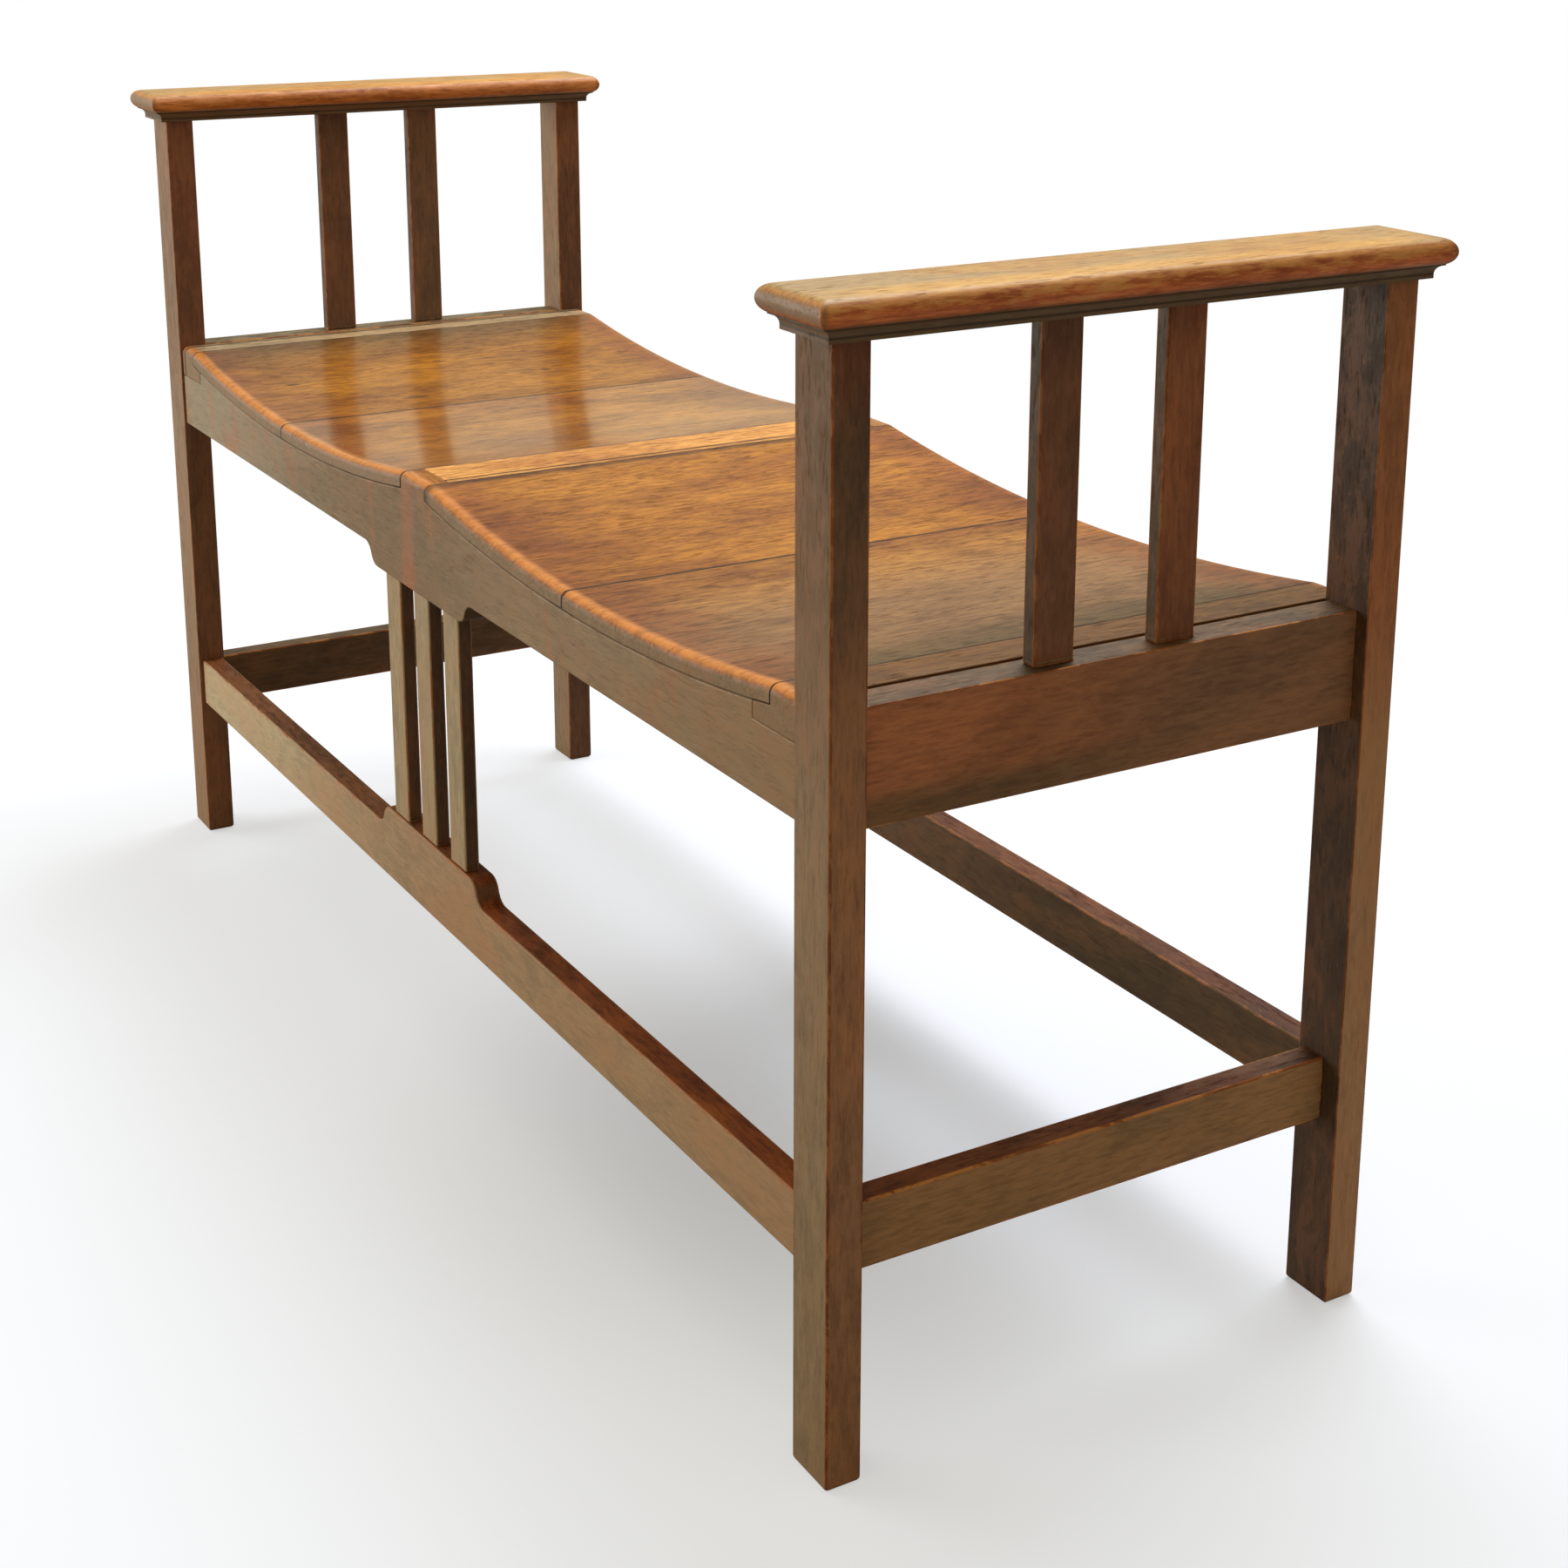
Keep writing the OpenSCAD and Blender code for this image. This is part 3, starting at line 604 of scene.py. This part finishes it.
# Lighter toward the left end: painted window light, over the wood's own tone.
STRETCHER_FRONT = change("x", -0.5, 0.0, shade(OLIVE, 1.85, 2.2, 2.4), shade(OLIVE, 1.42, 1.38, 1.34))
STRETCHER_TOP = change("x", 0.03, 0.1, shade(RUST, 1.2, 1.45, 1.9), shade(RUST, 1.25, 1.12, 0.95))
# Darker toward the rear post: painted shade in the corner by the post.
END_STRETCHER_TOP = change("y", 0.08, 0.17, shade(RUST, 0.6, 0.55, 0.5), shade(RUST, 0.3, 0.35, 0.4))
END_RAIL_RED = change("z", END_RAIL_LOW + 0.008, END_RAIL_LOW + 0.026, shade(BROWN, 1.1, 1.35, 1.3),
                      shade(RED, 2.0, 2.3, 2.4))
END_RAIL_SIDE = change("y", -0.08, 0.08, END_RAIL_RED, shade(BROWN, 1.5, 1.7, 1.95))

# Frame pieces: grain, and the colours of the faces along X, along Y and on top. These colours hold painted
# light and shade besides the wood's own tone
FRAME_PIECES = {
    "post_front_left": ("z", LEFT_POST_SIDE, LEFT_POST_FRONT, RUST),
    "post_front_right": ("z", RIGHT_POST_SIDE, RIGHT_POST_FRONT, RUST),
    "post_rear_left": ("z", BROWN, OLIVE, RUST),
    "post_rear_right": ("z", REAR_POST_SIDE, REAR_POST_FRONT, RUST),
    "arm_slat_left_front": ("z", shade(BROWN, 1.0, 1.2, 1.5), DARK, RUST),
    "arm_slat_left_rear": ("z", shade(BROWN, 1.02, 1.4, 1.9), DARK, RUST),
    "arm_slat_right_front": ("z", shade(SMOKED, 1.5, 1.35, 1.4), ARM_SLAT_FRONT, RUST),
    "arm_slat_right_rear": ("z", ARM_SLAT_SIDE, ARM_SLAT_FRONT, RUST),
    "front_slat_left": ("z", CENTRE_SLAT_SIDE, CENTRE_SLAT_FRONT, RUST),
    "front_slat_middle": ("z", CENTRE_SLAT_SIDE, CENTRE_SLAT_FRONT, RUST),
    "front_slat_right": ("z", CENTRE_SLAT_SIDE, CENTRE_SLAT_FRONT, RUST),
    "rear_slat_left": ("z", CENTRE_SLAT_SIDE, OLIVE, RUST),
    "rear_slat_middle": ("z", CENTRE_SLAT_SIDE, OLIVE, RUST),
    "rear_slat_right": ("z", CENTRE_SLAT_SIDE, OLIVE, RUST),
    "stretcher_front": ("x", BROWN, STRETCHER_FRONT, STRETCHER_TOP),
    "stretcher_rear": ("x", BROWN, shade(DARK, 1.5, 1.65, 1.45), shade(RUST, 0.5, 0.45, 0.4)),
    "end_rail_left": ("y", BROWN, DARK, shade(GREY, 3.0, 3.3, 3.3)),
    "end_rail_right": ("y", END_RAIL_SIDE, DARK, shade(GREY, 1.25, 1.0, 0.65)),
    "end_stretcher_left": ("y", shade(BROWN, 0.8, 0.98, 1.0), DARK, shade(OLIVE, 0.5)),
    "end_stretcher_right": ("y", shade(BROWN, 2.0, 2.6, 2.7), DARK, END_STRETCHER_TOP),
}

# Long rails of the seat: colours of the front, and a reddish patch by its middle and half width
# The front of the front rail is lighter toward the left end: painted window light, over the wood's own tone.
RAIL_LEFT = change("x", -0.5, -0.1, shade(OLIVE, 1.16, 1.48, 1.8), shade(OLIVE, 0.86, 0.84, 0.76))
RAIL_FRONT = change("x", 0.0, 0.22, RAIL_LEFT, shade(OLIVE, 1.1, 1.12, 1.12))
SEAT_RAILS = (("seat_rail_front", RAIL_FRONT, (-0.014, 0.005)),
              ("seat_rail_rear", OLIVE, None))

# Strips across the seat, the tops of the bearers: colours, and the places of their dark lines
LEFT_STRIP = change("x", -END_STRIP_LINE - 0.0005, -END_STRIP_LINE + 0.0005, shade(GREY, 3.0, 3.3, 3.3),
                    shade(STRIP, 1.9, 2.6, 4.4))
STRIPS = (("seat_bearer_left", LEFT_STRIP, (-END_STRIP_LINE,)),
          ("seat_bearer_middle", shade(GOLD, 1.5, 1.9, 5.5), (DIVIDER_LINE,)),
          ("seat_bearer_right", shade(STRIP, 0.6, 0.48, 0.2), ()))

# Arm rails: colours of the top, colours low on the nosing, darker partly as painted shade, and cracks in the
# top
ARM_RAILS = (("arm_rail_left", shade(HONEY, 0.95, 0.88, 0.8), shade(RUST, 2.5, 3.1, 2.8), ()),
             ("arm_rail_right", shade(HONEY, 1.0, 1.0, 0.72), shade(RUST, 2.5, 2.3, 3.0),
              ((0.6205, 0.1305, 8.0, 0.0005),)))

# Seat boards: side of the bench, colours, weight of the polish, roughness, and knots. A knot or a crack
# has its place, how many times longer than wide it is, and its half width
KNOTS = ((-0.415, -0.148, 2.5, 0.0016), (-0.334, -0.063, 6.0, 0.001), (-0.379, 0.078, 2.0, 0.0014))
LEFT_END = change("x", -0.54, -0.45, shade(DULL, 0.9, 0.78, 0.5), shade(GOLD, 0.79, 0.8, 0.74))
RIGHT_INNER = shade(GOLD, 0.92, 0.95, 0.95)
RIGHT_MIDDLE = change("x", 0.27, 0.4, shade(GOLD, 0.88, 1.0, 1.7), shade(DULL, 1.15, 1.12, 1.05))
RIGHT_END = change("x", 0.45, 0.53, RIGHT_MIDDLE, shade(DULL, 0.48, 0.5, 0.38))
SEAT_BOARDS = (("seat_board_left_inner", -1, GOLD, 0.75, 0.32, ()),
               ("seat_board_left_outer", -1, LEFT_END, 0.32, 0.34, KNOTS),
               ("seat_board_right_inner", 1, RIGHT_INNER, 0.06, 0.5, ()),
               ("seat_board_right_outer", 1, RIGHT_END, 0.06, 0.5, ()))


def ease(piece, main, worn, width):
    """Joins the loose triangles of a node, takes the sharpness off its edges and dresses it."""
    piece.data.materials.clear()
    piece.data.materials.append(main)
    piece.data.materials.append(worn)
    weld = piece.modifiers.new("Joined faces", "WELD")
    weld.merge_threshold = NODE_TOUCH
    plain = piece.modifiers.new("Plain faces", "DECIMATE")
    plain.decimate_type = "DISSOLVE"
    plain.angle_limit = math.radians(PLAIN_ANGLE)
    bevel = piece.modifiers.new("Eased edges", "BEVEL")
    bevel.width = width
    bevel.segments = 3
    bevel.limit_method = "ANGLE"
    bevel.angle_limit = math.radians(FRAME_SHARP)
    bevel.use_clamp_overlap = True
    bevel.material = 1


def deselect():
    bpy.ops.object.select_all(action="DESELECT")


def finish_material(piece, material):
    piece.data.materials.clear()
    piece.data.materials.append(material)


def begin(name):
    """Names the primitive that was just added."""
    piece = bpy.context.object
    piece.name = name
    piece.data.name = name
    return piece


def settle(piece):
    """Puts the place of a piece in its mesh and smooths its rounds."""
    deselect()
    bpy.context.view_layer.objects.active = piece
    piece.select_set(True)
    bpy.ops.object.transform_apply(location=True, rotation=True, scale=True)
    bpy.ops.object.shade_smooth_by_angle(angle=math.radians(SMOOTH_ANGLE))
    deselect()


def even_shading(piece):
    """Keeps the wide flat faces of a piece flat in the light, beside its rounds."""
    even = piece.modifiers.new("Even shading", "WEIGHTED_NORMAL")
    even.mode = "FACE_AREA"
    even.keep_sharp = True


def arm_profile():
    """Steps of the moulding from the underside up: distance out from the posts, and height."""
    steps = [(FILLET_OUT, 0), (FILLET_OUT, FILLET_HEIGHT)]
    for i in range(1, COVE_STEPS + 1):
        turn = math.radians(90 * i / COVE_STEPS)
        out = FILLET_OUT + COVE_RADIUS * (1 - math.cos(turn))
        steps.append((out, FILLET_HEIGHT + COVE_RADIUS * math.sin(turn)))
    middle = ARM_THICK - NOSING_RADIUS
    nose = ARM_OVERHANG - NOSING_RADIUS
    start = math.degrees(math.acos((FILLET_OUT + COVE_RADIUS - nose) / NOSING_RADIUS))
    for i in range(NOSING_STEPS + 1):
        turn = math.radians(-start + (90 + start) * i / NOSING_STEPS)
        steps.append((nose + NOSING_RADIUS * math.cos(turn), middle + NOSING_RADIUS * math.sin(turn)))
    return steps


def arm_rail(node, material):
    """An arm rail: its outline is drawn up from the underside, step by step along the moulding."""
    low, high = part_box(node)
    half_x = (high.x - low.x) / 2 - ARM_OVERHANG
    half_y = (high.y - low.y) / 2 - ARM_OVERHANG
    middle = (low + high) / 2
    steps = arm_profile()
    out = steps[0][0]
    bpy.ops.mesh.primitive_plane_add(size=1, location=(middle.x, middle.y, low.z))
    piece = begin(node + "_moulded")
    piece.scale = (2 * (half_x + out), 2 * (half_y + out), 1)
    bpy.ops.object.transform_apply(location=True, rotation=False, scale=True)
    bpy.ops.object.mode_set(mode="EDIT")
    bpy.ops.mesh.select_all(action="SELECT")
    last_out, last_height = steps[0]
    for out, height in steps[1:]:
        bpy.ops.mesh.extrude_region_move(TRANSFORM_OT_translate={"value": (0, 0, height - last_height)})
        growth = ((half_x + out) / (half_x + last_out), (half_y + out) / (half_y + last_out), 1)
        bpy.ops.transform.resize(value=growth, center_override=(middle.x, middle.y, low.z + height))
        last_out, last_height = out, height
    bpy.ops.mesh.select_all(action="SELECT")
    bpy.ops.mesh.remove_doubles(threshold=TOUCH)
    bpy.ops.mesh.normals_make_consistent(inside=False)
    bpy.ops.mesh.select_mode(type="EDGE")
    bpy.ops.mesh.select_all(action="DESELECT")
    bpy.ops.object.mode_set(mode="OBJECT")
    lip = low.z + COVE_TOP - 0.0001
    for edge in piece.data.edges:
        first, second = (piece.data.vertices[index].co for index in edge.vertices)
        edge.select = min(first.z, second.z) > lip and abs(first.z - second.z) > TOUCH
    bpy.ops.object.mode_set(mode="EDIT")
    bpy.ops.mesh.bevel(offset=ARM_CORNER, segments=CORNER_STEPS, affect="EDGES")
    bpy.ops.mesh.select_mode(type="VERT")
    bpy.ops.object.mode_set(mode="OBJECT")
    finish_material(piece, material)
    settle(piece)
    even_shading(piece)
    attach(piece, "root")
    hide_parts(node)


def seat_board(node, side, material):
    """A seat board: its section is spun about the axis of the dip and trimmed at both ends."""
    low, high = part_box(node)
    axis = Vector((side * DIP_MIDDLE, 0, DIP_LOW + DIP_RADIUS))
    middle = (axis.x, 0, DIP_LOW - BOARD_THICK / 2)
    bpy.ops.mesh.primitive_plane_add(size=1, rotation=(0, math.radians(90), 0), location=middle)
    piece = begin(node + "_curved")
    bpy.ops.object.transform_apply(location=True, rotation=True, scale=True)
    bpy.ops.object.mode_set(mode="EDIT")
    bpy.ops.mesh.select_all(action="SELECT")
    bpy.ops.transform.resize(value=(1, high.y - low.y, BOARD_THICK), center_override=middle)
    bpy.ops.mesh.select_all(action="DESELECT")
    bpy.ops.object.mode_set(mode="OBJECT")
    for vertex in piece.data.vertices:
        vertex.select = vertex.co.z > middle[2]
    bpy.ops.object.mode_set(mode="EDIT")
    bpy.ops.mesh.bevel(offset=BOARD_ROUNDING, segments=ROUNDING_STEPS, affect="VERTICES")
    bpy.ops.mesh.select_all(action="SELECT")
    reach = math.asin(DIP_HALF / DIP_RADIUS) * 1.1
    bpy.ops.transform.rotate(value=-reach, orient_axis="Y", center_override=axis)
    bpy.ops.mesh.spin(steps=DIP_STEPS, angle=2 * reach, center=axis, axis=(0, 1, 0))
    for x, outward in ((low.x, -1), (high.x, 1)):
        bpy.ops.mesh.select_all(action="SELECT")
        bpy.ops.mesh.bisect(plane_co=(x, 0, 0), plane_no=(outward, 0, 0), use_fill=True, clear_outer=True)
    bpy.ops.mesh.select_all(action="SELECT")
    bpy.ops.mesh.remove_doubles(threshold=TOUCH)
    bpy.ops.mesh.normals_make_consistent(inside=False)
    bpy.ops.object.mode_set(mode="OBJECT")
    bevel = piece.modifiers.new("Eased ends", "BEVEL")
    bevel.width = BOARD_EASE
    bevel.segments = 2
    bevel.limit_method = "ANGLE"
    bevel.angle_limit = math.radians(BOARD_SHARP)
    finish_material(piece, material)
    settle(piece)
    even_shading(piece)
    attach(piece, "root")
    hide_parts(node)


def make_bench():
    shift = 0
    for node, (along, ends, fronts, tops) in FRAME_PIECES.items():
        shift += 1
        main = frame_oak(node, along, shift, ends, fronts, tops)
        base = fronts if node.startswith(("front_slat", "rear_slat", "stretcher")) else RUST
        edges = worn_edge(node + "_edges", along, shift, base, ORANGE if node.startswith("end_") else WORN)
        ease(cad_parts[node], main, edges, RAIL_EASE if "rail" in node else FRAME_EASE)
    for node, fronts, red in SEAT_RAILS:
        shift += 1
        main = seat_oak(node, "x", shift, fronts=fronts, red=red)
        ease(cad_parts[node], main, main, FRAME_EASE)
    for node, colours, lines in STRIPS:
        shift += 1
        main = seat_oak(node, "y", shift, colours, coat=0.06, rough=0.5, lines=lines)
        ease(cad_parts[node], main, main, STRIP_EASE)
    for node, colours, under, cracks in ARM_RAILS:
        shift += 1
        arm_rail(node, arm_oak(node, shift, colours, under, cracks))
    for node, side, colours, coat, rough, spots in SEAT_BOARDS:
        shift += 1
        main = seat_oak(node, "y", shift, colours, coat=coat, rough=rough, board=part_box(node), spots=spots)
        seat_board(node, side, main)


def make_camera():
    turn = math.radians(CAMERA_AZIMUTH)
    down = math.radians(CAMERA_DOWN)
    forward = Vector((-math.sin(turn) * math.cos(down), math.cos(turn) * math.cos(down), -math.sin(down)))
    right = forward.cross(Vector((0, 0, 1))).normalized()
    up = right.cross(forward)
    roll = math.radians(CAMERA_ROLL)
    right, up = (math.cos(roll) * right + math.sin(roll) * up, math.cos(roll) * up - math.sin(roll) * right)
    camera = bpy.data.objects.new("Camera", bpy.data.cameras.new("Camera"))
    bpy.context.scene.collection.objects.link(camera)
    turned = Matrix((right, up, -forward)).transposed().to_4x4()
    camera.matrix_world = Matrix.Translation(CAMERA_PLACE) @ turned
    camera.data.sensor_fit = "HORIZONTAL"
    camera.data.lens = FOCAL_PIXELS / PHOTO_WIDTH * camera.data.sensor_width
    camera.data.shift_x = (PHOTO_WIDTH / 2 - AXIS_PIXEL[0]) / PHOTO_WIDTH
    camera.data.shift_y = (AXIS_PIXEL[1] - PHOTO_WIDTH / 2) / PHOTO_WIDTH
    bpy.context.scene.camera = camera


def lamp(name, place, target, size, power, colour=(1, 1, 1)):
    """A soft rectangular lamp that looks at its target. Sizes are in metres and power is in watts."""
    light = bpy.data.lights.new(name, "AREA")
    light.shape = "RECTANGLE"
    light.size, light.size_y = size
    light.energy = power
    light.color = colour
    piece = bpy.data.objects.new(name, light)
    bpy.context.scene.collection.objects.link(piece)
    piece.location = place
    piece.rotation_euler = (Vector(target) - Vector(place)).to_track_quat("-Z", "Y").to_euler()


def make_light():
    lamp("Overhead", (-0.5, 1.0, 2.7), (0, 0, 0.3), (1.9, 1.4), 76)
    lamp("Front window", (-2.1, -2.2, 0.9), (-0.2, 0, 0.3), (2.2, 1.6), 52, (1.0, 0.98, 0.95))
    world = bpy.data.worlds.new("Studio")
    bpy.context.scene.world = world
    world.use_nodes = True
    nodes = Nodes(world.node_tree)
    room = world.node_tree.nodes["Background"]
    toward = nodes.add("ShaderNodeTexCoord").outputs["Generated"]
    window = nodes.add("ShaderNodeVectorMath", operation="DOT_PRODUCT")
    nodes.feed(window.inputs[0], toward)
    nodes.feed(window.inputs[1], WINDOW_WAY)
    room.inputs["Color"].default_value = ROOM_LIGHT
    nodes.feed(room.inputs["Strength"], nodes.ramp(window.outputs["Value"], -0.7, 0.8, 0.34, 0.64))
    white = nodes.add("ShaderNodeBackground", {"Color": WHITE, "Strength": 1.0})
    path = nodes.add("ShaderNodeLightPath")
    seen = nodes.larger(path.outputs["Is Camera Ray"], path.outputs["Is Transmission Ray"])
    both = nodes.add("ShaderNodeMixShader")
    nodes.feed(both.inputs[0], seen)
    nodes.feed(both.inputs[1], room.outputs[0])
    nodes.feed(both.inputs[2], white.outputs[0])
    nodes.feed(world.node_tree.nodes["World Output"].inputs["Surface"], both.outputs[0])


def make_floor():
    """A pale floor: the camera sees it white with soft shadows and painted shade under the bench, and it
    throws little light back.
    """
    bpy.ops.mesh.primitive_plane_add(size=30, location=(0, 0, 0))
    floor = begin("Floor")
    material = bpy.data.materials.new("Floor")
    material.use_nodes = True
    nodes = Nodes(material.node_tree)
    surface = material.node_tree.nodes["Principled BSDF"]
    path = nodes.add("ShaderNodeLightPath")
    seen = path.outputs["Is Camera Ray"]
    colour = nodes.mix(seen, FLOOR_BOUNCE, FLOOR_SEEN)
    nodes.feed(surface.inputs["Base Color"], colour)
    surface.inputs["Roughness"].default_value = 0.9
    surface.inputs["Specular IOR Level"].default_value = 0.0
    place = nodes.add("ShaderNodeTexCoord").outputs["Object"]
    # Painted shade: less plain white near the bench, so the floor under it is darker than its real shadow
    # makes it.
    near = nodes.ramp(nodes.distance(place, (0.25, 0.1, 0)), 0.08, 0.5, WHITE_BELOW, WHITE_BESIDE)
    far = nodes.ramp(nodes.distance(place), 0.75, 1.8, near, 1.0)
    white = nodes.add("ShaderNodeEmission", {"Color": WHITE, "Strength": 1.0})
    both = nodes.add("ShaderNodeMixShader")
    nodes.feed(both.inputs[0], nodes.times(far, seen))
    nodes.feed(both.inputs[1], surface.outputs[0])
    nodes.feed(both.inputs[2], white.outputs[0])
    nodes.feed(material.node_tree.nodes["Material Output"].inputs["Surface"], both.outputs[0])
    finish_material(floor, material)


deselect()
make_camera()
make_light()
make_floor()
make_bench()
bpy.context.scene.view_settings.view_transform = "Standard"

bpy.context.view_layer.update()
